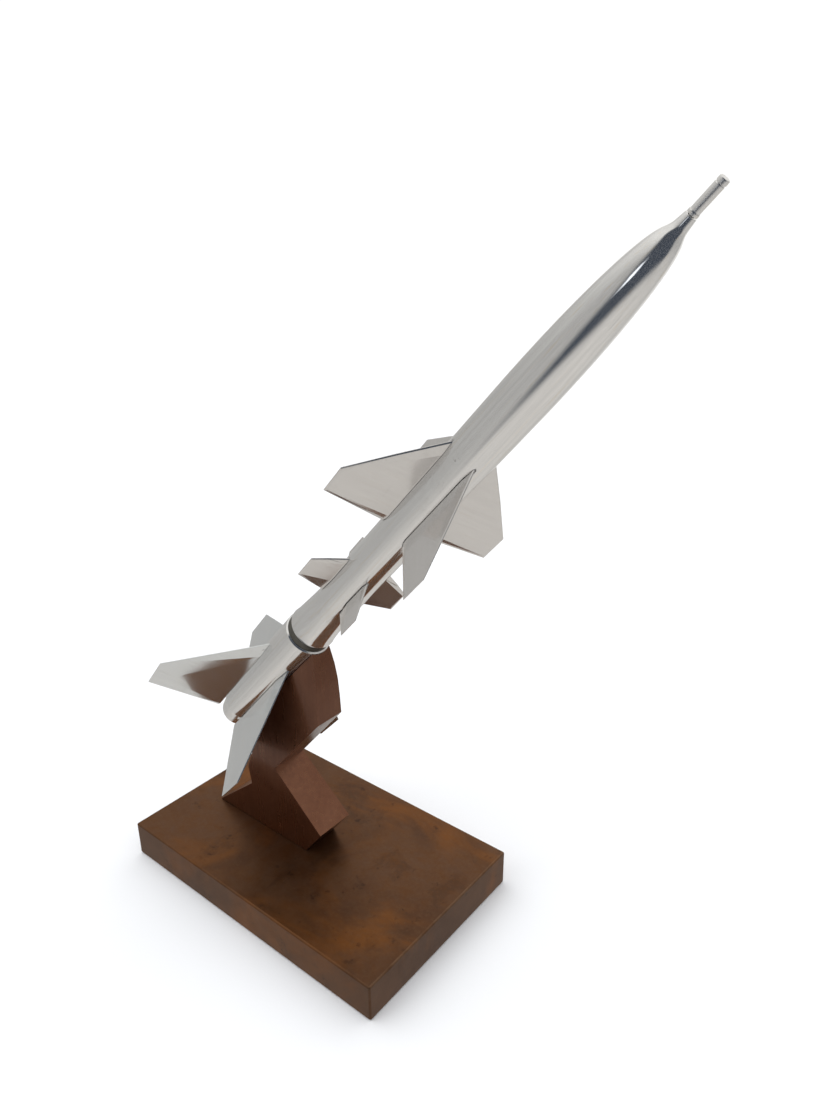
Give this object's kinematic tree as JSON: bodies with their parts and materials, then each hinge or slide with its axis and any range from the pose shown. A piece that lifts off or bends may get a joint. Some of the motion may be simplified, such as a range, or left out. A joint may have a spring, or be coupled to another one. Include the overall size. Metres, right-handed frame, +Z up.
{
  "type": "model rocket",
  "caption": "Desk model of a two-stage winged rocket in polished metal, fixed at a climbing angle on a dark zigzag stand with a rectangular plinth.",
  "frame": {"origin": "centre of the plinth's underside, on the surface that the model stands on", "axes": "+X along the plinth's long side, the way the nose points; +Y along its short side; +Z up. The rocket's axis lies in the plane Y = 0 and climbs at 48 degrees towards +X"},
  "size_m": [0.2473, 0.1, 0.3172],
  "materials": {
    "polished_aluminium": "polished bare metal with fine brushing, hairline scratches and a few scuffs",
    "blackened_ring": "blackened, satin",
    "bronze_stand": "dark brown patina under clear lacquer, glossy",
    "bronze_plinth": "mottled brown patina, satin",
    "steel": "turned steel"
  },
  "bodies": {
    "root": {"base_plate": "bronze_plinth", "base_screw_front": "steel", "base_screw_rear": "steel", "booster_fin_far_lower": "polished_aluminium", "booster_fin_far_upper": "polished_aluminium", "booster_fin_near_lower": "polished_aluminium", "booster_fin_near_upper": "polished_aluminium", "booster_tube": "polished_aluminium", "control_fin_far_lower": "polished_aluminium", "control_fin_far_upper": "polished_aluminium", "control_fin_near_lower": "polished_aluminium", "control_fin_near_upper": "polished_aluminium", "joint_ring": "blackened_ring", "joint_spigot": "steel", "nose_probe": "polished_aluminium", "saddle_stud_1": "steel", "saddle_stud_2": "steel", "stand": "bronze_stand", "sustainer_body": "polished_aluminium", "tail_collar": "polished_aluminium", "wing_far_lower": "polished_aluminium", "wing_far_upper": "polished_aluminium", "wing_near_lower": "polished_aluminium", "wing_near_upper": "polished_aluminium"}
  },
  "joints": []
}
